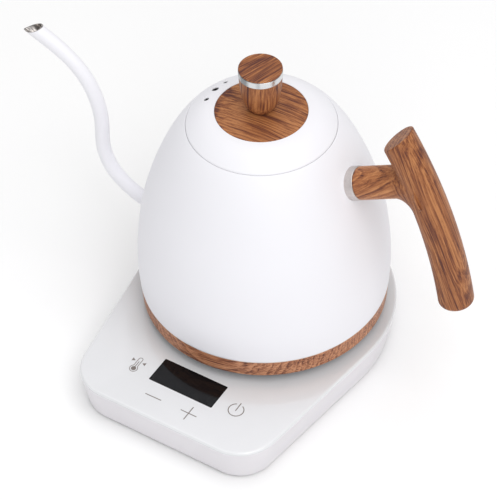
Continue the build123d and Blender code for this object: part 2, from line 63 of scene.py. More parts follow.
def level(flat, height):
    """Flat points set at a height."""
    return np.column_stack([flat, np.full(len(flat), height)])


def course(line):
    """Unit direction along a flat line at each of its points, and the direction to its left."""
    along = np.gradient(line, axis=0)
    along /= np.linalg.norm(along, axis=1, keepdims=True)
    return along, coords(-along[:, 1], along[:, 0])


# ---- places read from the frame

RING_BOTTOM = 3.2
RING_LOW, RING_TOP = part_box("wood_ring")
LIFT = RING_LOW.z - RING_BOTTOM / 1000     # the kettle's own zero, just above the base
PANEL_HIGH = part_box("top_panel")[1]
SKIRT_LOW, SKIRT_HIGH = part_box("base_housing")
WINDOW_LOW, WINDOW_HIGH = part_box("display_window")
DISC_LOW, DISC_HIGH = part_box("lid_disc")
STEM_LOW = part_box("knob_body")[0]
BAND_LOW, BAND_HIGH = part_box("knob_band")
CAP_LOW, CAP_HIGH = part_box("knob_cap")
STUD_LOW, STUD_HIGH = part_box("handle_stud")
STUD_MIDDLE = (STUD_LOW + STUD_HIGH) / 2
TURN = math.atan2(STUD_MIDDLE.y, STUD_MIDDLE.x)   # the handle's direction in plan

# ---- sizes of the kettle, in MM

DOME = ((76.98, 15.9), (77.73, 29.3), (76.53, 51.1), (72.96, 74.1), (65.34, 99.7),
        (55.79, 121.3), (44.2, 138.3), (40.11, 142.2), (32.83, 146.5), (27.1, 147.8))
WALL = 1.0
MOUTH_R = 44.35
LID_R = 44.2
ROLL = 0.45                                # where the rolled edge of the mouth and the lid begins
NECK_DROP = 9.0
SKIRT_DROP = 5.4
SPOUT_LINE = ((69.0, 35.5), (92.6, 47.3), (104.3, 59.2), (110.0, 77.3), (109.6, 94.4),
              (112.3, 115.0), (121.2, 132.9), (133.9, 144.7), (157.4, 157.8))
SPOUT_R = 4.5
SPOUT_WALL = 0.8
ROOT_FLARE, ROOT_RUN = 1.9, 7.0            # extra radius at the weld, and how far it reaches
END_FLARE, END_RUN = 0.5, 34.0             # the same at the mouth
TIP = (151.9, 154.8)
TIP_TILT = 22.6
LIP_PINCH = 0.7                            # share of the width that the lip loses
LIP_OUT = 0.9
LIP_RUN = 12.0
LIP_POWER = 3.5                            # how closely the lip keeps to the underside
ARM_ROOT = (59.1, 113.9)
ARM_RISE = 25.1
ARM_R = 9.8
ARM_REACH = 45.0                           # well inside the grip
COLLAR_R = 10.1
COLLAR_L = 5.2
GRIP_AXIS = ((80.0, 168.9), (110.6, 106.9), (126.9, 45.9))
GRIP_CUT = (84.6, 158.5)
GRIP_CUT_LEAN = 46.3
GRIP_R_TOP = 10.3
GRIP_R_LOW = 10.75
GRIP_EDGE = 0.9
GRIP_END = 3.2
GRIP_SIDE = 0.965                          # share of the arc before the rounded end
ARM_FILLET = 11.0
ARM_FILLET_TOP = 0.7
RING_R_LOW = 76.2
RING_R_TOP = 76.95
RING_W = 5.0
KNOB_PROFILE = ((6.5, 149.8), (9.2, 153.6), (11.1, 159.7), (12.1, 167.0), (12.6, 174.6))
DISC_T = 2.6
DISC_CROWN = 1.8
VENT_TURN = 168.5
VENT_RING_R = 34.1
VENTS = ((-14.0, 1.3), (0.0, 2.1), (17.0, 1.5))
DRILL_LOW, DRILL_HIGH = 120.0, 160.0

# ---- sizes of the base, in MM

BASE_R = 82.2
BASE_FRONT = 123.1
SIDE_TAPER = 8.67
CORNER_R = 26.0
SKIRT_INSET = 4.0
SKIRT_WALL = 2.2
PANEL_EDGE = 1.5
PANE_CORNER_R = 0.7
PLUG_HOLE_R = 14.8
ICON_LINE = 0.6
ICON_RISE = 0.05


# ---- shapes

def cubic(points, count):
    """Natural cubic spline through points, its parameter the length of the chords: the second
    derivatives solve a three-band system, and count places are spread evenly along it."""
    points = np.asarray(points, float)
    t = np.concatenate([[0], np.cumsum(np.linalg.norm(np.diff(points, axis=0), axis=1))])
    h = np.diff(t)
    n = len(t)
    bands = np.eye(n)
    right = np.zeros_like(points)
    inner = np.arange(1, n - 1)
    bands[inner, inner - 1] = h[:-1]
    bands[inner, inner] = 2 * (h[:-1] + h[1:])
    bands[inner, inner + 1] = h[1:]
    slope = np.diff(points, axis=0) / h[:, None]
    right[1:-1] = 6 * np.diff(slope, axis=0)
    bend = np.linalg.solve(bands, right)
    at = np.linspace(0, t[-1], count)
    k = np.clip(np.searchsorted(t, at, side="right") - 1, 0, n - 2)
    a = ((t[k + 1] - at) / h[k])[:, None]
    b = 1 - a
    lift = ((a ** 3 - a) * bend[k] + (b ** 3 - b) * bend[k + 1]) * (h[k] ** 2)[:, None] / 6
    return a * points[k] + b * points[k + 1] + lift


def rounded(corners, steps=6):
    """Outline with arcs in its corners: each corner is (across, up, radius), and its arc touches
    both sides; the first and last points stay sharp."""
    corners = np.asarray(corners, float)
    out = [corners[:1, :2]]
    for before, here, after in zip(corners[:-2], corners[1:-1], corners[2:]):
        p, r = here[:2], here[2]
        u = before[:2] - p
        v = after[:2] - p
        u, v = u / np.linalg.norm(u), v / np.linalg.norm(v)
        half = math.acos(np.clip(u @ v, -1, 1)) / 2
        if r <= 0 or abs(half - math.pi / 2) < 1e-3:
            out.append(p[None])
            continue
        reach = r / math.tan(half)
        centre = p + (u + v) / np.linalg.norm(u + v) * r / math.sin(half)
        start = p + u * reach - centre
        end = p + v * reach - centre
        w = np.linspace(0, 1, steps)[:, None]
        sweep = math.acos(np.clip(start @ end / r ** 2, -1, 1))
        arc = (np.sin((1 - w) * sweep) * start + np.sin(w * sweep) * end) / math.sin(sweep)
        out.append(centre + arc)
    out.append(corners[-1:, :2])
    return np.concatenate(out)


def turned(profile, places=160):
    """Surface of revolution: the point (radius, height) of the profile, carried round the Z axis."""
    a = around(places)
    r, z = profile[:, :1], profile[:, 1:]
    return coords(r * np.cos(a), r * np.sin(a), z + 0 * a)


def on_kettle(sheet):
    """Kettle millimetres, handle along +X and zero at the ring, to metres in the whole frame."""
    c, s = math.cos(TURN), math.sin(TURN)
    x, y, z = sheet[..., 0], sheet[..., 1], sheet[..., 2]
    return coords(c * x - s * y, s * x + c * y, z + LIFT * 1000) / 1000


def skin(name, sheet, body, material, loop=False, poles=(False, False), sharp=40, band=None):
    """Piece from a grid of points: sheet[i, j] is the profile's point i at place j round the
    piece.  Places join up; loop joins the last point of the profile to the first; a pole closes
    an end with one point in the middle.  The faces are turned outwards by the sign of the volume.
    band(i) gives the material number of the strip of faces after profile point i."""
    n, m = sheet.shape[:2]
    points = sheet.reshape(-1, 3)
    rows = np.arange(n if loop else n - 1)
    i, j = np.meshgrid(rows, np.arange(m), indexing="ij")
    up, on = (i + 1) % n, (j + 1) % m
    quads = coords(i * m + j, i * m + on, up * m + on, up * m + j).reshape(-1, 4)
    faces = quads.tolist()
    number = np.repeat(rows, m)
    ring = np.arange(m)
    for end, start, flip in ((0, 0, 1), (1, (n - 1) * m, 0)):
        if poles[end]:
            pole = len(points)
            points = np.vstack([points, sheet[0 if end == 0 else -1].mean(0)])
            a, b = start + ring, start + (ring + 1) % m
            fan = np.stack([b, a, a * 0 + pole] if flip else [a, b, a * 0 + pole], axis=-1)
            faces += fan.tolist()
            number = np.concatenate([number, np.full(m, 0 if end == 0 else n - 2)])
    p = points[quads]
    volume = (np.cross(p[:, 1], p[:, 2]) * p[:, 0]).sum() + (np.cross(p[:, 2], p[:, 3]) * p[:, 0]).sum()
    if volume < 0:
        faces = [face[::-1] for face in faces]
    mesh = bpy.data.meshes.new(name)
    mesh.from_pydata(points.tolist(), [], faces)
    mesh.polygons.foreach_set("use_smooth", np.ones(len(faces), bool))
    materials = material if isinstance(material, (list, tuple)) else [material]
    for each in materials:
        mesh.materials.append(each)
    if band is not None:
        mesh.polygons.foreach_set("material_index", band(number).astype(np.int32))
    mesh.update()
    if sharp:
        mesh.set_sharp_from_angle(angle=math.radians(sharp))
    piece = bpy.data.objects.new(name, mesh)
    bpy.context.scene.collection.objects.link(piece)
    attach(piece, body)
    return piece


def circle_through(points):
    """Centre and radius of the circle through three points of a plane."""
    (ax, ay), (bx, by), (cx, cy) = points
    rows = np.array([[bx - ax, by - ay], [cx - ax, cy - ay]]) * 2
    right = np.array([bx ** 2 - ax ** 2 + by ** 2 - ay ** 2, cx ** 2 - ax ** 2 + cy ** 2 - ay ** 2])
    centre = np.linalg.solve(rows, right)
    return centre, float(np.hypot(*(np.array(points[0]) - centre)))


GRIP_CENTRE, GRIP_BEND = circle_through(GRIP_AXIS)
GRIP_FROM, GRIP_TO = [math.atan2(p[1] - GRIP_CENTRE[1], p[0] - GRIP_CENTRE[0]) for p in GRIP_AXIS[::2]]


# ---- nodes of the finishes

PALE, WARM, DARK = (0.475, 0.198, 0.074), (0.27, 0.092, 0.034), (0.098, 0.030, 0.022)
BOW_ALONG = 0.17                                  # squeeze along the grain, for each pattern
STREAK_ALONG = 0.024
PORE_ALONG = 0.16
BOWS = ((0.055, 2.0, 9.0), (0.038, 1.0, 8.0))     # scale per MM, detail and MM of the layers' bends
LAYER_RISE = 0.035                                # MM that the layers climb in a MM of length
PORE_DEPTH = 0.00006
OILED = {"Coat Weight": 0.05, "Coat Roughness": 0.35, "Specular IOR Level": 0.25}


def fill(tree, node, values):
    """Link or set a node's inputs, each from another node's output or a plain value."""
    for key, value in values.items():
        if isinstance(value, bpy.types.NodeSocket):
            tree.links.new(value, node.inputs[key])
        else:
            node.inputs[key].default_value = value


def add(tree, kind, values=(), **settings):
    """A node with its settings and its inputs."""
    node = tree.nodes.new(kind)
    for key, value in settings.items():
        setattr(node, key, value)
    fill(tree, node, dict(values))
    return node


def maths(tree, what, a, b=0.0, clamp=False):
    return add(tree, "ShaderNodeMath", {0: a, 1: b}, operation=what, use_clamp=clamp).outputs[0]


def times(tree, a, b):
    return maths(tree, "MULTIPLY", a, b)


def total(tree, *terms, clamp=False):
    """Sum of the terms; clamp keeps it between zero and one."""
    out = terms[0]
    for number, term in enumerate(terms[1:], 2):
        out = maths(tree, "ADD", out, term, clamp=clamp and number == len(terms))
    return out


def swing(tree, value, strength):
    """How far a value is from its middle, made stronger or weaker."""
    return times(tree, maths(tree, "SUBTRACT", value, 0.5), strength)


def distance(tree, a, b):
    """Distance of a point from zero, from its two coordinates."""
    return maths(tree, "SQRT", total(tree, times(tree, a, a), times(tree, b, b)))


def vector(tree, what, a, b, out=0):
    """Vector arithmetic; out is 0 for a vector result and 1 for a number."""
    return add(tree, "ShaderNodeVectorMath", {0: a, 1: b}, operation=what).outputs[out]


def triple(tree, x, y=0.0, z=0.0):
    return add(tree, "ShaderNodeCombineXYZ", {0: x, 1: y, 2: z}).outputs[0]


def ramp(tree, factor, stops):
    """Colour ramp from (place, colour) stops."""
    node = add(tree, "ShaderNodeValToRGB", {0: factor})
    marks = node.color_ramp.elements
    while len(marks) < len(stops):
        marks.new(0.5)
    for mark, (place, colour) in zip(marks, stops):
        mark.position = place
        mark.color = (*colour, 1.0)
    return node.outputs[0]


def fade(tree, factor, *stops):
    """Ramp of greys from (place, grey) stops."""
    return ramp(tree, factor, [(place, (grey,) * 3) for place, grey in stops])


def blended(tree, share, a, b, blend="MIX"):
    """Colour between two colours."""
    return add(tree, "ShaderNodeMix", {0: share, 6: a, 7: b}, data_type="RGBA", blend_type=blend).outputs[2]


def noise(tree, at, scale, detail=2.0, roughness=0.5):
    values = {"Vector": at, "Scale": scale, "Detail": detail, "Roughness": roughness}
    return add(tree, "ShaderNodeTexNoise", values).outputs[0]


def mottled(tree, at, colour, scale, darker, start):
    """Colour that drifts slowly between itself and a slightly darker one."""
    low = tuple(darker * c for c in colour)
    return ramp(tree, noise(tree, at, scale, 3.0), ((start, low), (1 - start, colour)))


def group(name, inputs, outputs):
    """Empty node group with named sockets; returns it with its input and output nodes."""
    tree = bpy.data.node_groups.new(name, "ShaderNodeTree")
    for label, kind, value in inputs:
        socket = tree.interface.new_socket(label, in_out="INPUT", socket_type="NodeSocket" + kind)
        socket.default_value = value
    for label, kind in outputs:
        tree.interface.new_socket(label, in_out="OUTPUT", socket_type="NodeSocket" + kind)
    return tree, tree.nodes.new("NodeGroupInput"), tree.nodes.new("NodeGroupOutput")


def make_wood_group():
    """Solid wood: growth layers are sheets round a far-off heart, bent by slow noise; each layer
    darkens to a thin late line.  Long fine streaks, broad tone changes and short open pores run
    along the grain.  Gives colour, roughness and height."""
    tree, src, dst = group(
        "wood_figure",
        [("Position", "Vector", (0, 0, 0)), ("Along", "Vector", (1, 0, 0)),
         ("Across", "Vector", (0, 1, 0)), ("Heart", "Vector", (0.0, 0.03, 0.02)),
         ("Layer mm", "Float", 3.4), ("Streaks", "Float", 1.0),
         ("Pale", "Color", (*PALE, 1)), ("Warm", "Color", (*WARM, 1)), ("Dark", "Color", (*DARK, 1))],
        [("Color", "Color"), ("Roughness", "Float"), ("Height", "Float")])
    g = src.outputs
    to_mm = (1000.0, 1000.0, 1000.0)
    place, heart = [vector(tree, "MULTIPLY", g[key], to_mm) for key in ("Position", "Heart")]
    depth = vector(tree, "CROSS_PRODUCT", g["Along"], g["Across"])
    x, y, z = [vector(tree, "DOT_PRODUCT", place, axis, 1) for axis in (g["Along"], g["Across"], depth)]
    off = add(tree, "ShaderNodeSeparateXYZ", {0: heart}).outputs

    slow = triple(tree, times(tree, x, BOW_ALONG), y, z)
    bow_y, bow_z = [swing(tree, noise(tree, slow, scale, detail), size) for scale, detail, size in BOWS]
    layer_y = total(tree, y, off[1], bow_y)
    layer_z = total(tree, z, off[2], bow_z, times(tree, x, LAYER_RISE))
    far = distance(tree, layer_y, layer_z)
    uneven = times(tree, noise(tree, triple(tree, far), 0.19), 2.2)
    layer = maths(tree, "FRACT", total(tree, maths(tree, "DIVIDE", far, g["Layer mm"]), uneven))
    late = fade(tree, layer, (0.0, 0.25), (0.10, 1.0), (0.45, 0.78), (0.80, 0.42), (0.94, 0.0), (1.0, 0.25))

    drawn = triple(tree, times(tree, x, STREAK_ALONG), layer_y, layer_z)
    streak = noise(tree, drawn, 0.95, 5.0, 0.66)
    fibre = noise(tree, drawn, 3.2, 3.0, 0.6)
    broad = noise(tree, drawn, 0.16)
    short = triple(tree, times(tree, x, PORE_ALONG), y, z)
    pores = fade(tree, noise(tree, short, 2.6), (0.60, 0.0), (0.70, 1.0))

    tone = total(tree, times(tree, late, 0.42), swing(tree, streak, times(tree, g["Streaks"], 2.6)),
                 swing(tree, broad, 0.75), swing(tree, fibre, 0.55), 0.29, clamp=True)
    low = blended(tree, fade(tree, tone, (0.08, 0.0), (0.50, 1.0)), g["Dark"], g["Warm"])
    full = blended(tree, fade(tree, tone, (0.48, 0.0), (0.95, 1.0)), low, g["Pale"])
    fill(tree, dst, {
        "Color": blended(tree, times(tree, pores, 0.42), full, g["Dark"]),
        "Roughness": total(tree, times(tree, tone, -0.12), 0.50, times(tree, pores, 0.2)),
        "Height": maths(tree, "SUBTRACT", times(tree, fibre, 0.5), pores)})
    return tree


def make_coat_group():
    """Powder coat: a fine dimpled skin with slow changes of gloss.  Gives roughness and height."""
    tree, src, dst = group("powder_skin", [("Position", "Vector", (0, 0, 0)), ("Roughness", "Float", 0.5)],
                           [("Roughness", "Float"), ("Height", "Float")])
    at, roughness = src.outputs["Position"], src.outputs["Roughness"]
    dimple = noise(tree, at, 1400.0, 2.0, 0.45)
    slow = noise(tree, at, 22.0, 3.0)
    fill(tree, dst, {"Roughness": total(tree, roughness, swing(tree, slow, 0.12), swing(tree, dimple, 0.10)),
                     "Height": total(tree, dimple, times(tree, slow, 0.6))})
    return tree


def make_wear_group():
    """Handling marks: thin scratches from stretched noise and faint smudges.  Gives a mask."""
    tree, src, dst = group("handling", [("Position", "Vector", (0, 0, 0))], [("Mask", "Float")])
    at = src.outputs["Position"]
    stretch = {"Vector": at, "Rotation": (0.3, 0.2, 0.9), "Scale": (40, 900, 600)}
    drawn = add(tree, "ShaderNodeMapping", stretch).outputs[0]
    scratch = fade(tree, noise(tree, drawn, 1.0), (0.66, 0.0), (0.72, 1.0))
    smudge = fade(tree, noise(tree, at, 38.0, 4.0, 0.6), (0.45, 0.0), (0.75, 1.0))
    mask = total(tree, times(tree, scratch, 0.35), times(tree, smudge, 0.65), clamp=True)
    fill(tree, dst, {"Mask": mask})
    return tree


WOOD = make_wood_group()
COAT = make_coat_group()
WEAR = make_wear_group()


def use(tree, made, values):
    """A node group placed in a material; returns its outputs."""
    return add(tree, "ShaderNodeGroup", values, node_tree=made).outputs


def finish_of(name, shader):
    """Material with one Principled shader; returns it, its tree, the shader and the object's place."""
    material = bpy.data.materials.new(name)
    material.use_nodes = True
    tree = material.node_tree
    tree.nodes.clear()
    skin_node = add(tree, "ShaderNodeBsdfPrincipled", shader)
    out = tree.nodes.new("ShaderNodeOutputMaterial")
    tree.links.new(skin_node.outputs[0], out.inputs[0])
    at = tree.nodes.new("ShaderNodeTexCoord").outputs["Object"]
    return material, tree, skin_node, at


def clothe(tree, shader, colour, roughness, height, depth):
    """Give the shader its colour and roughness, and its height by a Bump node; depth is metres."""
    bump = add(tree, "ShaderNodeBump", {"Height": height, "Distance": depth, "Strength": 1.0})
    fill(tree, shader, {"Base Color": colour, "Roughness": roughness, "Normal": bump.outputs[0]})


def coated(name, colour, roughness, depth):
    """Powder-coated metal."""
    made, tree, shader, at = finish_of(name, {"Specular IOR Level": 0.45})
    out = use(tree, COAT, {"Position": at, "Roughness": roughness})
    clothe(tree, shader, mottled(tree, at, colour, 9.0, 0.985, 0.35), out["Roughness"], out["Height"], depth)
    return made


def plastic(name, colour, roughness, coat=0.0, depth=0.00001, coat_roughness=0.03, shine=0.5):
    """Moulded plastic, with a clear gloss where coat is above zero."""
    made, tree, shader, at = finish_of(name, {"Coat Weight": coat, "Coat Roughness": coat_roughness,
                                              "Specular IOR Level": shine})
    wear = use(tree, WEAR, {"Position": at})["Mask"]
    rough = total(tree, times(tree, wear, 0.06), roughness)
    clothe(tree, shader, mottled(tree, at, colour, 14.0, 0.975, 0.3), rough, noise(tree, at, 900.0), depth)
    return made


def brushed(name, colour, roughness, lines, painted_sheen=None):
    """Brushed metal: fine lines from noise squeezed along one way of the piece.  With a scale
    given, broad dark and bright stretches of painted reflection are multiplied into the colour."""
    made, tree, shader, at = finish_of(name, {"Metallic": 1.0})
    squeezed = add(tree, "ShaderNodeMapping", {"Vector": at, "Scale": lines}).outputs[0]
    line = noise(tree, squeezed, 1.0, 4.0, 0.6)
    wear = use(tree, WEAR, {"Position": at})["Mask"]
    tone = ramp(tree, line, ((0.25, tuple(0.86 * c for c in colour)), (0.75, colour)))
    # painted reflection: broad dark and bright stretches multiplied into the steel's colour
    if painted_sheen:
        wide = add(tree, "ShaderNodeMapping", {"Vector": at, "Scale": painted_sheen}).outputs[0]
        reflection_stripes = ramp(tree, noise(tree, wide, 1.0, 1.0), ((0.38, (0.36, 0.37, 0.38)), (0.58, (1.0, 1.0, 1.0))))
        tone = blended(tree, 1.0, tone, reflection_stripes, "MULTIPLY")
    rough = total(tree, times(tree, line, 0.16), times(tree, wear, 0.08), roughness)
    clothe(tree, shader, tone, rough, line, 0.000006)
    return made


def grain_of(along, across, heart, layer, streaks=1.0, pale=PALE, warm=WARM):
    """Settings of the wood group for a grain direction and a heart's place."""
    along = Vector(along).normalized()
    across = Vector(across)
    across = (across - along * across.dot(along)).normalized()
    return {"Along": along, "Across": across, "Heart": heart, "Layer mm": layer, "Streaks": streaks,
            "Pale": (*pale, 1), "Warm": (*warm, 1), "Dark": (*DARK, 1)}


def timber(name, *grain, **tones):
    """Oiled wood whose grain runs along one direction of the whole frame."""
    made, tree, shader, at = finish_of(name, OILED)
    out = use(tree, WOOD, {"Position": at, **grain_of(*grain, **tones)})
    clothe(tree, shader, out["Color"], out["Roughness"], out["Height"], PORE_DEPTH)
    return made


def branch_timber(name, bar, branch, start, end):
    """Oiled wood of the arm that runs into the grip.  Its place is measured inwards from the
    arc of the grip's axis, in MM: up to start it shows the grip's grain, from end on its own."""
    made, tree, shader, at = finish_of(name, OILED)
    across = vector(tree, "DOT_PRODUCT", at, in_plane(1, 0), 1)
    upright = add(tree, "ShaderNodeSeparateXYZ", {0: at}).outputs[2]
    across = maths(tree, "SUBTRACT", across, GRIP_CENTRE[0] / 1000)
    upright = maths(tree, "SUBTRACT", upright, GRIP_CENTRE[1] / 1000 + LIFT)
    inside = maths(tree, "SUBTRACT", GRIP_BEND / 1000, distance(tree, across, upright))
    share = add(tree, "ShaderNodeMapRange", {0: inside, 1: start / 1000, 2: end / 1000},
                interpolation_type="SMOOTHSTEP").outputs[0]
    near, far = [use(tree, WOOD, {"Position": at, **grain_of(*grain)}) for grain in (bar, branch)]
    rough, height = [add(tree, "ShaderNodeMix", {0: share, 2: near[key], 3: far[key]}).outputs[0]
                     for key in ("Roughness", "Height")]
    clothe(tree, shader, blended(tree, share, near["Color"], far["Color"]), rough, height, PORE_DEPTH)
    return made


def in_plane(across, up):
    """Direction in the handle's own upright plane, outwards and up, in the whole frame."""
    return (across * math.cos(TURN), across * math.sin(TURN), up)


def heading(degrees):
    """Level direction at a compass angle of the frame."""
    return (math.cos(math.radians(degrees)), math.sin(math.radians(degrees)), 0.0)


WHITE_COAT = coated("white_powder_coat", (0.865, 0.86, 0.90), 0.48, 0.000012)
PANEL_GLOSS = plastic("panel_gloss", (0.775, 0.78, 0.80), 0.22, coat=1.0, depth=0.000003)
SKIRT_SATIN = plastic("skirt_satin", (0.765, 0.745, 0.775), 0.38, coat=0.15, depth=0.000008,
                      coat_roughness=0.3)
BLACK_PANE = plastic("black_pane", (0.006, 0.006, 0.007), 0.08, depth=0.0000008, shine=0.32)
ICON_INK = plastic("icon_ink", (0.20, 0.17, 0.155), 0.5)
STEEL = brushed("brushed_steel", (0.72, 0.71, 0.70), 0.22, (30, 30, 2600))
STEEL_INSIDE = brushed("steel_inside", (0.62, 0.61, 0.60), 0.30, (60, 60, 1800))
# spout steel: its colour carries painted reflection, with dark and bright stripes along the tube
STEEL_SPOUT = brushed("steel_spout", (0.80, 0.74, 0.70), 0.14, (300, 300, 300), painted_sheen=(150, 620, 150))
STEEL_COLLAR = brushed("steel_collar", (0.70, 0.655, 0.635), 0.34, (900, 900, 900))
# knob band steel: its colour carries painted reflection, with broad dark and bright stretches round the band
STEEL_BAND = brushed("steel_band", (0.74, 0.75, 0.76), 0.16, (40, 40, 2400), painted_sheen=(130, 130, 2))
TRIM_METAL = brushed("trim_metal", (0.85, 0.82, 0.78), 0.3, (30, 30, 2600))
GRIP_GRAIN = (in_plane(0.36, -0.93), in_plane(0.93, 0.36), (0, 0.012, 0.021), 3.1, 1.0)
ARM_GRAIN = (in_plane(0.72, 0.69), in_plane(-0.69, 0.72), (0, 0.016, 0.014), 3.4, 0.7,
             (0.60, 0.265, 0.105), (0.37, 0.135, 0.050))
HANDLE_WOOD = timber("handle_walnut", *GRIP_GRAIN)
ARM_WOOD = branch_timber("arm_walnut", GRIP_GRAIN, ARM_GRAIN, 9.0, 17.0)
RING_WOOD = timber("ring_walnut", (1, 0.10, 0.03), (0, -0.80, 0.60), (0, 0.4, 0.3), 2.6,
                   pale=(0.62, 0.30, 0.16), warm=(0.39, 0.155, 0.075))
DISC_WOOD = timber("disc_walnut", heading(3), (0, 0.9, 0.35), (0, 0.06, 0.14), 5.6, streaks=1.5)
CAP_WOOD = timber("cap_walnut", heading(71), (-0.9, 0.3, 0.3), (0, 0.045, 0.1), 5.0, streaks=1.3)
STEM_WOOD = timber("stem_walnut", (0.10, -0.06, 1), (1, 0.4, 0), (0, 0.004, 0.013), 3.0)
RUBBER = plastic("rubber", (0.035, 0.035, 0.036), 0.75, depth=0.00003)
SILICONE = plastic("silicone", (0.72, 0.72, 0.70), 0.5, depth=0.00002)
DARK_PLASTIC = plastic("dark_plastic", (0.03, 0.03, 0.032), 0.42, depth=0.00002)
GREY_PLASTIC = plastic("grey_plastic", (0.36, 0.36, 0.37), 0.5, depth=0.00002)
BOARD_GREEN = plastic("board_green", (0.02, 0.13, 0.05), 0.35, coat=0.3)
COPPER = brushed("copper", (0.80, 0.47, 0.28), 0.28, (200, 200, 200))
ALUMINIUM = brushed("aluminium", (0.76, 0.77, 0.78), 0.34, (400, 400, 60))

# ---- kettle body and lid

OUTLINE = cubic(DOME, 260)


def dome_radius(height):
    """Radius of the body's outside at a height, both in MM."""
    return np.interp(height, OUTLINE[:, 1], OUTLINE[:, 0])


def inset_outline(amount):
    """The outline moved inwards along its normal."""
    return OUTLINE + amount * course(OUTLINE)[1]


def rolled(start, corner, end):
    """Bent edge: the curve of second degree that leaves start towards corner and ends at end."""
    t = np.linspace(0, 1, 6)[:, None]
    return (1 - t) ** 2 * start + 2 * t * (1 - t) * corner + t ** 2 * end


def make_body():
    """Revolved shell: the outside from the ring to the mouth, a rolled lip, the neck, and the
    steel inside wall one WALL further in."""
    outside = OUTLINE[OUTLINE[:, 0] > MOUTH_R + ROLL]
    lip_z = np.interp(-MOUTH_R, -OUTLINE[:, 0], OUTLINE[:, 1])
    inner = inset_outline(WALL)
    neck_low = lip_z - NECK_DROP
    inside = inner[(inner[:, 1] < neck_low - 1) & (inner[:, 1] > DOME[0][1] + 0.5)][::-1]
    foot = np.array([[DOME[0][0] - WALL, DOME[0][1]], [DOME[0][0] - 0.25, DOME[0][1]],
                     [DOME[0][0] - 0.05, DOME[0][1] + 0.08]])
    lip = rolled(outside[-1], [MOUTH_R + 0.02, lip_z], [MOUTH_R, lip_z - 0.55])
    neck = np.array([[MOUTH_R, lip_z - 2], [MOUTH_R, neck_low + 0.4], [MOUTH_R + 0.3, neck_low],
                     [inside[0, 0] - 0.3, neck_low - 0.2]])
    profile = np.concatenate([foot, outside, lip[1:], neck, inside])
    white = len(foot) + len(outside) + 4
    sheet = on_kettle(turned(profile, 224))
    piece = skin("body_shell", sheet, "kettle", [WHITE_COAT, STEEL_INSIDE], loop=True,
                 band=lambda i: i > white)
    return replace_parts(piece, "kettle_shell")


def cut_holes(piece, drills):
    """Drill the piece with closed cutters, which are then thrown away."""
    for drill in drills:
        cut = piece.modifiers.new("drill", "BOOLEAN")
        cut.operation = "DIFFERENCE"
        cut.solver = "EXACT"
        cut.object = drill
    bpy.context.view_layer.update()
    solid = bpy.data.meshes.new_from_object(piece.evaluated_get(bpy.context.evaluated_depsgraph_get()))
    piece.modifiers.clear()
    old = piece.data
    piece.data = solid
    solid.name = piece.name
    bpy.data.meshes.remove(old)
    for drill in drills:
        bpy.data.objects.remove(drill)


def make_lid():
    """Revolved cap: rounded edge, the dome's top, a pocket for the wooden disc, and the
    underside one WALL below; three steam holes are drilled straight down."""
    top = OUTLINE[(OUTLINE[:, 0] < LID_R - ROLL) & (OUTLINE[:, 0] > DISC_HIGH.x * 1000 + 0.25)]
    edge_z = np.interp(-LID_R, -OUTLINE[:, 0], OUTLINE[:, 1])
    edge = rolled([LID_R, edge_z - 0.6], [LID_R, edge_z], top[0])
    pocket_r = DISC_HIGH.x * 1000 + 0.12
    disc_top = (DISC_LOW.z - LIFT) * 1000 + DISC_T
    floor = (DISC_LOW.z - LIFT) * 1000 - 0.1
    pocket = np.array([[pocket_r + 0.1, disc_top - 0.02], [pocket_r, disc_top - 0.12], [pocket_r, floor],
                       [2.3, floor], [2.3, floor - WALL], [pocket_r + WALL, floor - WALL]])
    inner = inset_outline(WALL)
    under = inner[(inner[:, 0] > pocket_r + WALL + 1) & (inner[:, 0] < LID_R - WALL - 0.5)][::-1]
    hem = edge_z - SKIRT_DROP
    skirt = np.array([[LID_R - WALL, edge_z - 1.5], [LID_R - WALL, hem], [LID_R, hem]])
    profile = np.concatenate([edge, top[1:], pocket, under, skirt])
    white = len(edge) + len(top)
    sheet = on_kettle(turned(profile, 200))
    piece = skin("lid_cap_skin", sheet, "lid", [WHITE_COAT, STEEL_INSIDE], loop=True,
                 band=lambda i: i > white)
    drills = []
    for number, (turn, radius) in enumerate(VENTS):
        a = math.radians(VENT_TURN + turn)
        wall = rounded(((0.01, DRILL_LOW, 0), (radius, DRILL_LOW, 0),
                        (radius, DRILL_HIGH, 0), (0.01, DRILL_HIGH, 0)))
        sheet = turned(wall, 32)
        sheet[..., 0] += VENT_RING_R * math.cos(a)
        sheet[..., 1] += VENT_RING_R * math.sin(a)
        drills.append(skin(f"drill_{number}", on_kettle(sheet), "lid", STEEL, poles=(True, True)))
    cut_holes(piece, drills)
    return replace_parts(piece, "lid_cap")


def rounded_disc(name, radius, low, high, edge, body, material, node, crown=0.0):
    """Turned plate with a softened top edge and a crowned face; low and high are metres in the
    frame, and high is the edge's height."""
    low, high = (low - LIFT) * 1000, (high - LIFT) * 1000
    profile = rounded(((0.4, high, 0), (radius, high, edge), (radius, low, 0.15), (0.4, low, 0)), 8)
    fine = np.concatenate([np.linspace(profile[0], profile[1], 12)[:-1], profile[1:]])
    fine[:12, 1] += crown * (1 - (fine[:12, 0] / fine[11, 0]) ** 2)
    piece = skin(name, on_kettle(turned(fine, 144)), body, material, poles=(True, True))
    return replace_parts(piece, node)


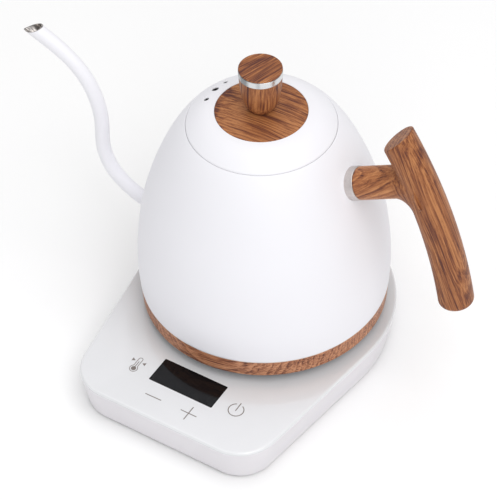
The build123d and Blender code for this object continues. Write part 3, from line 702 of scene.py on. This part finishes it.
def make_knob():
    """Waisted stem, steel band and wooden cap, all turned about the kettle's axis."""
    waist = cubic(KNOB_PROFILE, 40)
    foot_z = (STEM_LOW.z - LIFT) * 1000
    foot = np.array([[0.4, foot_z], [5.9, foot_z], [6.25, foot_z + 0.06]])
    rim_r, rim_z = KNOB_PROFILE[-1]
    top = np.array([[rim_r - 0.15, rim_z + 0.02], [0.4, rim_z + 0.02]])
    sheet = on_kettle(turned(np.concatenate([foot, waist[1:], top]), 128))
    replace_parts(skin("knob_stem_skin", sheet, "lid", STEM_WOOD, poles=(True, True)), "knob_body")
    rounded_disc("knob_band_skin", BAND_HIGH.x * 1000, BAND_LOW.z, BAND_HIGH.z, 0.35, "lid",
                 STEEL_BAND, "knob_band")
    rounded_disc("knob_cap_skin", CAP_HIGH.x * 1000, CAP_LOW.z, CAP_HIGH.z, 0.5, "lid",
                 CAP_WOOD, "knob_cap")


def make_foot_ring():
    """Turned wooden ring with slightly softened edges."""
    low, top = RING_BOTTOM, (RING_TOP.z - LIFT) * 1000
    inside = RING_R_LOW - RING_W
    profile = rounded(((inside, low, 0), (RING_R_LOW, low, 0.5),
                       (RING_R_TOP, top, 0.25), (inside, top, 0)), 6)
    side = np.concatenate([profile[:7], np.linspace(profile[6], profile[7], 8)[1:-1], profile[7:]])
    piece = skin("foot_ring_skin", on_kettle(turned(side, 256)), "kettle", RING_WOOD, loop=True)
    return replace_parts(piece, "wood_ring")


# ---- spout

def make_spout():
    """Tube carried along the swan-neck curve.  At the mouth every line of the tube runs on until
    it meets the slanted cut, at the root it flares where it is welded, and the inside is the
    same surface one wall in."""
    line = cubic(SPOUT_LINE, 140)
    along, normal = course(line)
    a = around(48)
    tip = np.array(TIP)
    lean = math.radians(TIP_TILT)
    cut = np.array([math.sin(lean), math.cos(lean)])
    buried = dome_radius(line[:, 1]) - line[:, 0]
    outside = line[buried < 1.5]
    keep = np.arange(len(line)) >= len(line) - len(outside)
    depth = np.linalg.norm(outside - outside[0], axis=1)
    left = np.linalg.norm(outside - outside[-1], axis=1)
    flare = ROOT_FLARE * np.clip(1 - depth / ROOT_RUN, 0, 1) ** 2
    flare = flare + END_FLARE * np.clip(1 - left / END_RUN, 0, 1)
    lip = np.clip(1 - left / LIP_RUN, 0, 1)[:, None] * ((1 - np.cos(a)) / 2) ** LIP_POWER

    def wall(radius):
        """Rings of one radius, drawn out to a narrow lip on the underside of the mouth, with the
        far ones slid along the tube onto the cut."""
        beside = radius * np.cos(a) - LIP_OUT * lip
        flat = outside[:, None] + beside[..., None] * normal[keep][:, None]
        over = (flat - tip) @ cut
        slope = (along[keep] @ cut)[:, None]
        slid = flat - np.where(over > 0, over / slope, 0)[..., None] * along[keep][:, None]
        y = radius * np.sin(a) * (1 - LIP_PINCH * lip)
        return coords(-slid[..., 0], y, slid[..., 1]), over

    outer, over = wall((SPOUT_R + flare)[:, None])
    inner, _ = wall((SPOUT_R - SPOUT_WALL + np.clip(flare, 0, END_FLARE))[:, None])
    last = int(np.argmax((over > 0).all(axis=1)))
    rim = (outer[last] + inner[last]) / 2
    rim[:, 2] += 0.12
    sheet = np.concatenate([outer[:last + 1], rim[None], inner[:last + 1][::-1]])
    piece = skin("spout_skin", on_kettle(sheet), "kettle", [WHITE_COAT, STEEL_SPOUT], loop=True,
                 band=lambda i: i >= last, sharp=35)
    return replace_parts(piece, "spout_tube")


# ---- handle

def grip_radius(angle):
    """The grip swells slowly from its top to its lower end."""
    share = np.clip((angle - GRIP_FROM) / (GRIP_TO - GRIP_FROM), 0, 1)
    return GRIP_R_TOP + (GRIP_R_LOW - GRIP_R_TOP) * share


def make_grip():
    """Round bar bent along an arc.  Each profile station has an inset from the bar's skin and a
    drop from its end; near the top the end is the slanted cut, so the ring is slid along the arc
    until it lies that far under the cut."""
    a = around(72)
    lean = math.radians(GRIP_CUT_LEAN)
    cut = np.array([-math.sin(lean), math.cos(lean)])

    def place(angle, inset):
        out = (grip_radius(angle) - inset) * np.cos(a)
        r = GRIP_BEND + out
        flat = GRIP_CENTRE + coords(r * np.cos(angle), r * np.sin(angle))
        return flat, (grip_radius(angle) - inset) * np.sin(a)

    def station(share, inset, drop):
        """share 0 is the slanted top, 1 the lower end."""
        angle = np.full_like(a, GRIP_FROM)
        for _ in range(12):
            flat, _ = place(angle, inset)
            angle = angle - ((flat - GRIP_CUT) @ cut + drop) / GRIP_BEND
        angle = angle + (GRIP_TO - angle) * share
        flat, y = place(angle, inset)
        return coords(flat[:, 0], y, flat[:, 1])

    def low_station(inset, back):
        """A ring square to the arc, back MM before its lower end."""
        angle = np.full_like(a, GRIP_TO + back / GRIP_BEND)
        flat, y = place(angle, inset)
        return coords(flat[:, 0], y, flat[:, 1])

    edge, low = GRIP_EDGE, GRIP_END
    face = [station(0, inset, 0) for inset in np.linspace(GRIP_R_TOP - 0.6, edge * 1.6, 9)]
    top = [station(0, edge * (1 - math.cos(b)), edge * (1 - math.sin(b)))
           for b in np.radians(np.linspace(90, 0, 7))]
    side = [station(share, 0, edge) for share in np.linspace(0, 1, 60)[1:-1] * GRIP_SIDE]
    end = [low_station(low * (1 - math.sin(b)), low * (1 - math.cos(b)))
           for b in np.radians(np.linspace(90, 0, 8))]
    plate = [low_station(inset, 0) for inset in np.linspace(low * 1.4, GRIP_R_LOW - 0.6, 6)]
    sheet = np.array(face + top + side + end + plate)
    return skin("grip_skin", on_kettle(sheet), "kettle", HANDLE_WOOD, poles=(True, True), sharp=0)


def arm_line(radius, angle, along):
    """Points beside the arm's axis, along mm out from its root."""
    rise = math.radians(ARM_RISE)
    out = np.array([math.cos(rise), math.sin(rise)])
    up = np.array([-math.sin(rise), math.cos(rise)])
    lift = (radius * np.cos(angle))[..., None] * up
    flat = np.array(ARM_ROOT) + along[..., None] * out + lift
    return coords(flat[..., 0], radius * np.sin(angle), flat[..., 1])


def reach(radius, angle, outside, near, far):
    """How far along the arm a line beside its axis first meets a surface: halving between near
    and far, where outside(points) is positive before the surface."""
    near = np.full(np.broadcast(radius, angle).shape, float(near))
    far = np.full(near.shape, float(far))
    for _ in range(30):
        middle = (near + far) / 2
        clear = outside(arm_line(radius, angle, middle)) > 0
        near = np.where(clear, middle, near)
        far = np.where(clear, far, middle)
    return (near + far) / 2


def outside_grip(points):
    """Distance from the grip's skin, positive outside it."""
    flat = coords(points[..., 0], points[..., 2]) - GRIP_CENTRE
    angle = np.arctan2(flat[..., 1], flat[..., 0])
    off = np.hypot(flat[..., 0], flat[..., 1]) - GRIP_BEND
    return np.hypot(off, points[..., 1]) - grip_radius(angle)


def inside_dome(points):
    """Level distance from the body's skin, positive inside it."""
    return dome_radius(points[..., 2]) - np.hypot(points[..., 0], points[..., 1])


def make_arm():
    """Round arm from the collar to the grip.  Its skin runs straight and then sweeps out in an
    arc that ends along the grip's own surface; the arc is large below and small above."""
    a = around(72)
    fillet = ARM_FILLET_TOP + (ARM_FILLET - ARM_FILLET_TOP) * np.clip(-np.cos(a), 0, 1) ** 1.6
    radius = np.full_like(a, ARM_R)

    def square(r, along):
        """A ring square to the arm."""
        return arm_line(r, a, np.full_like(a, along))

    def meeting(r):
        return reach(r, a, outside_grip, COLLAR_L, ARM_REACH)

    first = COLLAR_L + 0.5
    straight = meeting(radius) - fillet - COLLAR_L - 0.5
    rows = [square(radius * 0.05, COLLAR_L + 0.1), square(radius - 0.35, COLLAR_L + 0.1),
            square(radius - 0.08, COLLAR_L + 0.22), square(radius, first)]
    rows += [arm_line(radius, a, first + straight * t) for t in np.linspace(0, 1, 14)[1:]]
    for b in np.radians(np.linspace(0, 90, 14)[1:]):
        wide = radius + fillet * (1 - math.cos(b))
        rows.append(arm_line(wide, a, meeting(wide) - fillet * (1 - math.sin(b))))
    rows += [arm_line(wide, a, meeting(wide) + 0.8), square(radius * 0.2, ARM_REACH)]
    sheet = np.array(rows)
    piece = skin("arm_skin", on_kettle(sheet), "kettle", ARM_WOOD, poles=(True, True), sharp=50)
    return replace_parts(piece, "handle_wood")


def make_collar():
    """Steel ring on the arm's axis; its inner end lies on the body, its outer edge is rounded."""
    a = around(96)
    radius = np.full_like(a, COLLAR_R)
    root = reach(radius, a, inside_dome, -12.0, 12.0) - 0.4
    rows = [arm_line(radius - 2, a, root), arm_line(radius, a, root)]
    rows += [arm_line(radius, a, root + (COLLAR_L - 0.5 - root) * t) for t in np.linspace(0, 1, 5)[1:]]
    for b in np.radians(np.linspace(0, 90, 5)[1:]):
        height = COLLAR_L - 0.5 + 0.5 * math.sin(b)
        rows.append(arm_line(radius - 0.5 * (1 - math.cos(b)), a, np.full_like(a, height)))
    rows.append(arm_line(radius - 2, a, np.full_like(a, COLLAR_L)))
    piece = skin("collar_skin", on_kettle(np.array(rows)), "kettle", STEEL_COLLAR, loop=True)
    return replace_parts(piece, "handle_collar")


# ---- base

def base_plan():
    """Outline of the base and its outward normals: a round back, straight closing sides, a
    straight front and two round front corners, each arc given by the direction it faces."""
    side = math.radians(SIDE_TAPER)
    corner_y = -(BASE_FRONT - CORNER_R)
    corner_x = (BASE_R - CORNER_R + corner_y * math.sin(side)) / math.cos(side)
    arcs = ((0, 0, BASE_R, -side, math.pi + side, 120),
            (-corner_x, corner_y, CORNER_R, math.pi + side, 1.5 * math.pi, 28),
            (corner_x, corner_y, CORNER_R, 1.5 * math.pi, 2 * math.pi - side, 28))
    points, normals = [], []
    for x, y, r, start, end, count in arcs:
        face = np.linspace(start, end, count)
        normal = coords(np.cos(face), np.sin(face))
        points.append(np.array([x, y]) + r * normal)
        normals.append(normal)
    for k in range(3):
        here, after = points[2 * k][-1], points[(2 * k + 1) % len(points)][0]
        t = np.linspace(0, 1, 14)[1:-1, None]
        points.insert(2 * k + 1, here + (after - here) * t)
        normals.insert(2 * k + 1, np.repeat(normals[2 * k][-1:], len(t), axis=0))
    return np.concatenate(points), np.concatenate(normals)


PLAN, PLAN_OUT = base_plan()


def plan_ring(inset, height):
    """The outline moved inwards and set at a height, in MM."""
    return level(PLAN - inset * PLAN_OUT, height)


def hole_ring(radius, height):
    """A circle with one point towards every point of the outline."""
    way = PLAN / np.linalg.norm(PLAN, axis=1, keepdims=True)
    return level(radius * way, height)


def make_skirt():
    """Closed wall under the panel: outside leaning in to the table, rounded foot, inside wall."""
    low, high = SKIRT_LOW.z * 1000, SKIRT_HIGH.z * 1000
    top = PANEL_HIGH.z * 1000
    lean = SKIRT_INSET / (top - low)
    profile = rounded(((SKIRT_WALL + lean * (top - low), low, 0), (lean * (top - low), low, 1.1),
                       (lean * (top - high), high, 0.12), (SKIRT_WALL + lean * (top - high), high, 0)), 8)
    wall = np.concatenate([profile[:9], np.linspace(profile[8], profile[9], 8)[1:-1], profile[9:]])
    sheet = mm(np.array([plan_ring(inset, height) for inset, height in wall]))
    piece = skin("skirt_skin", sheet, "base", SKIRT_SATIN, loop=True)
    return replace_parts(piece, "base_housing")


def make_panel():
    """Glossy lid of the base: from the connector's hole out over the flat to the rounded edge,
    down the edge and back underneath."""
    top = PANEL_HIGH.z * 1000
    under = SKIRT_HIGH.z * 1000 + 0.12
    lean = SKIRT_INSET / (top - SKIRT_LOW.z * 1000)
    start, end = hole_ring(PLUG_HOLE_R + 0.5, top), plan_ring(2.4, top)
    rows = [hole_ring(PLUG_HOLE_R, under), hole_ring(PLUG_HOLE_R, top - 0.4),
            hole_ring(PLUG_HOLE_R + 0.12, top - 0.1)]
    rows += [start + (end - start) * t for t in np.linspace(0, 1, 10)]
    for b in np.radians(np.linspace(0, 78, 10)):
        rows.append(plan_ring(PANEL_EDGE - PANEL_EDGE * math.sin(b), top - PANEL_EDGE * (1 - math.cos(b))))
    rows += [plan_ring(lean * (top - under), under), plan_ring(3.4, under)]
    piece = skin("panel_skin", mm(np.array(rows)), "base", PANEL_GLOSS, loop=True)
    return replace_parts(piece, "top_panel")


def make_window():
    """Thin black pane with softened corners and edge, a hair above the panel."""
    centre = (WINDOW_LOW + WINDOW_HIGH) * 500
    half = np.array([WINDOW_HIGH.x - WINDOW_LOW.x, WINDOW_HIGH.y - WINDOW_LOW.y]) * 500
    top = WINDOW_HIGH.z * 1000 + 0.04
    face = np.radians(np.concatenate([np.linspace(q, q + 90, 8) for q in (0, 90, 180, 270)]))
    way = coords(np.cos(face), np.sin(face))
    quarter = face.reshape(4, 8).mean(1)
    corner = np.sign(np.round(coords(np.cos(quarter), np.sin(quarter)), 6))
    middle = np.repeat(corner * (half - PANE_CORNER_R), 8, axis=0)

    def ring(inset, height):
        return level(centre[:2] + middle + (PANE_CORNER_R - inset) * way, height)

    rows = [ring(inset, height) for inset, height in
            ((0, WINDOW_LOW.z * 1000), (0, top - 0.08), (0.03, top - 0.02), (0.1, top), (0.5, top))]
    sheet = mm(np.array(rows))
    piece = skin("display_pane", sheet, "base", BLACK_PANE, poles=(True, True), sharp=30)
    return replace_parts(piece, "display_window")


def ribbon(name, points, width):
    """Flat raised line on the panel: a low rectangle, width across, carried along the points."""
    points = np.asarray(points, float)
    side = course(points)[1] * width / 2
    top = PANEL_HIGH.z * 1000
    left, right = points + side, points - side
    corners = [level(p, z) for p, z in
               ((left, top - 0.1), (left, top + ICON_RISE), (right, top + ICON_RISE), (right, top - 0.1))]
    sheet = mm(np.stack(corners, axis=1))
    return skin(name, sheet, "base", ICON_INK, poles=(True, True), sharp=30)


def arc_points(x, y, r, start, end, count):
    """Points along an arc round (x, y), from start to end in degrees."""
    a = np.radians(np.linspace(start, end, count))
    return coords(x + r * np.cos(a), y + r * np.sin(a))


def patch(name, outline):
    """Small raised flat patch with the given outline."""
    outline = np.asarray(outline, float)
    top = PANEL_HIGH.z * 1000
    rows = [level(outline, z) for z in (top - 0.1, top + ICON_RISE)]
    return skin(name, mm(np.array(rows)), "base", ICON_INK, poles=(True, True), sharp=30)


def make_icons():
    """Less, more, on and temperature signs printed on the panel."""
    for name, points in (
            ("icon_less", ((-17.7, -108.6), (-12, -108.5), (-6.5, -108.4))),
            ("icon_more_across", ((7.5, -108.4), (13, -108.4), (18.5, -108.4))),
            ("icon_more_up", ((13, -113.9), (13, -108.7))),
            ("icon_more_top", ((13, -108.1), (13, -102.9))),
            ("icon_power_ring", arc_points(35.9, -91.8, 4.7, 115, 425, 60)),
            ("icon_power_line", ((35.9, -92.6), (35.9, -89.5), (35.9, -85.8)))):
        ribbon(name, points, ICON_LINE)
    x, y = -35.0, -95.6
    outline = np.concatenate([arc_points(x, y, 2.5, 122, 418, 40), arc_points(x, -87.6, 1.3, 0, 180, 16),
                              arc_points(x, y, 2.5, 122, 123, 2)])
    ribbon("icon_bulb_outline", outline, 0.42)
    patch("icon_bulb", arc_points(x, y, 1.6, 0, 350, 36))
    ribbon("icon_stem", ((x, -94.6), (x, -92), (x, -89.4)), 0.5)
    patch("icon_up", ((x - 4.7, -90.9), (x - 2.5, -89.6), (x - 4.7, -88.3)))
    patch("icon_down", ((x + 4.7, -90.9), (x + 4.7, -88.3), (x + 2.5, -89.6)))


# ---- CAD nodes that stay

def repaint(finish, *names):
    for name in names:
        node = NODES[name]
        node.data.materials.clear()
        node.data.materials.append(finish)


def paint_cad():
    repaint(STEEL, "vessel_floor", "heating_element", "temperature_probe", "cover_studs", "cover_screws",
            "bottom_screws", "handle_boss", "handle_stud", "knob_stud", "knob_nut")
    repaint(STEEL_INSIDE, "lid_liner")
    repaint(TRIM_METAL, "ring_trim")
    repaint(DARK_PLASTIC, "display_module", "buzzer", "transformer", "base_connector", "kettle_socket",
            "bottom_cover", "cord_gland", "cord_clamp")
    repaint(GREY_PLASTIC, "bottom_plate", "relay", "connector_guard")
    repaint(BOARD_GREEN, "control_board", "power_board")
    repaint(COPPER, "connector_contacts", "socket_pin", "touch_springs")
    repaint(ALUMINIUM, "heat_plate", "thermal_cutout", "capacitor")
    repaint(RUBBER, "feet")
    repaint(SILICONE, "probe_seal", "lid_gasket")


# ---- room, light and camera

FLOOR_HALF = 6.0
FLOOR_CELLS = 24
WORLD_STRENGTH = 0.54
LAMP_TARGET = (0, 0, 0.1)
# name, place, size, watts, colour
LAMPS = (("key", (1.1, -0.5, 1.9), (1.4, 1.4), 15.0, (1.0, 0.995, 0.985)),
         ("front", (1.0, -1.35, 1.3), (1.3, 1.2), 7.5, (0.98, 0.985, 1.0)),
         ("fill", (-1.6, -1.3, 1.0), (1.2, 1.2), 0.6, (0.96, 0.97, 1.0)),
         ("top", (-0.2, 0.4, 2.2), (1.8, 1.8), 13.5, (1, 1, 1)))
CAMERA_TURN = math.radians(32.37)          # round the kettle's axis, from the base's front
CAMERA_AWAY, CAMERA_UP = 0.9147, 0.9653
CAMERA_YAW, CAMERA_PITCH, CAMERA_ROLL = math.radians(-0.607), math.radians(45.54), math.radians(1.664)
CAMERA_LENS = 153.24


def make_floor():
    """Wide pale flat floor, a square of equal cells; its edges are out of the camera's sight."""
    side = np.linspace(-FLOOR_HALF, FLOOR_HALF, FLOOR_CELLS + 1)
    x, y = np.meshgrid(side, side, indexing="ij")
    points = coords(x, y, 0 * x).reshape(-1, 3)
    i, j = np.meshgrid(np.arange(FLOOR_CELLS), np.arange(FLOOR_CELLS), indexing="ij")
    row = FLOOR_CELLS + 1
    k = (i * row + j).reshape(-1)
    mesh = bpy.data.meshes.new("floor")
    mesh.from_pydata(points.tolist(), [], coords(k, k + row, k + row + 1, k + 1).tolist())
    made, tree, shader, at = finish_of("floor_paint", {"Roughness": 0.9, "Specular IOR Level": 0.1})
    tone = ramp(tree, noise(tree, at, 3.0, 3.0), ((0.3, (0.955, 0.955, 0.96)), (0.7, (0.97, 0.97, 0.97))))
    fill(tree, shader, {"Base Color": tone})
    mesh.materials.append(made)
    floor = bpy.data.objects.new("floor", mesh)
    bpy.context.scene.collection.objects.link(floor)


def area_light(name, place, size, power, colour):
    """Rectangular lamp turned towards the kettle."""
    data = bpy.data.lights.new(name, "AREA")
    data.shape = "RECTANGLE"
    data.size, data.size_y = size
    data.energy = power
    data.color = colour
    lamp = bpy.data.objects.new(name, data)
    lamp.location = place
    lamp.rotation_mode = "QUATERNION"
    lamp.rotation_quaternion = (Vector(LAMP_TARGET) - Vector(place)).to_track_quat("-Z", "Y")
    bpy.context.scene.collection.objects.link(lamp)


def make_light():
    world = bpy.data.worlds.new("studio")
    world.use_nodes = True
    background = world.node_tree.nodes["Background"]
    background.inputs["Color"].default_value = (1.0, 1.0, 1.0, 1)
    background.inputs["Strength"].default_value = WORLD_STRENGTH
    bpy.context.scene.world = world
    for settings in LAMPS:
        area_light(*settings)


def make_camera():
    """Camera that looks down from the front right corner of the base, rolled a little about its
    own aim.  Its place and aim are measured from the kettle's axis and zero."""
    yaw, pitch, roll = CAMERA_YAW, CAMERA_PITCH, CAMERA_ROLL
    ahead = Vector((math.sin(yaw) * math.cos(pitch), math.cos(yaw) * math.cos(pitch), -math.sin(pitch)))
    right = Vector((math.cos(yaw), -math.sin(yaw), 0))
    down = ahead.cross(right)
    x = math.cos(roll) * right + math.sin(roll) * down
    y = math.sin(roll) * right - math.cos(roll) * down
    spin = Matrix.Rotation(CAMERA_TURN, 3, "Z")
    axes = spin @ Matrix((x, y, -ahead)).transposed()
    data = bpy.data.cameras.new("camera")
    data.sensor_width = 36.0
    data.lens = CAMERA_LENS
    data.clip_end = 50
    camera = bpy.data.objects.new("camera", data)
    place = spin @ Vector((0, -CAMERA_AWAY, CAMERA_UP)) + Vector((0, 0, LIFT))
    camera.matrix_world = Matrix.Translation(place) @ axes.to_4x4()
    bpy.context.scene.collection.objects.link(camera)
    bpy.context.scene.camera = camera


make_body()
make_lid()
rounded_disc("lid_disc_skin", DISC_HIGH.x * 1000, DISC_LOW.z, DISC_LOW.z + DISC_T / 1000, 0.3, "lid",
             DISC_WOOD, "lid_disc", DISC_CROWN)
make_knob()
make_foot_ring()
make_spout()
make_grip()
make_arm()
make_collar()
make_skirt()
make_panel()
make_window()
make_icons()
paint_cad()
make_floor()
make_light()
make_camera()
bpy.context.scene.view_settings.view_transform = "Standard"
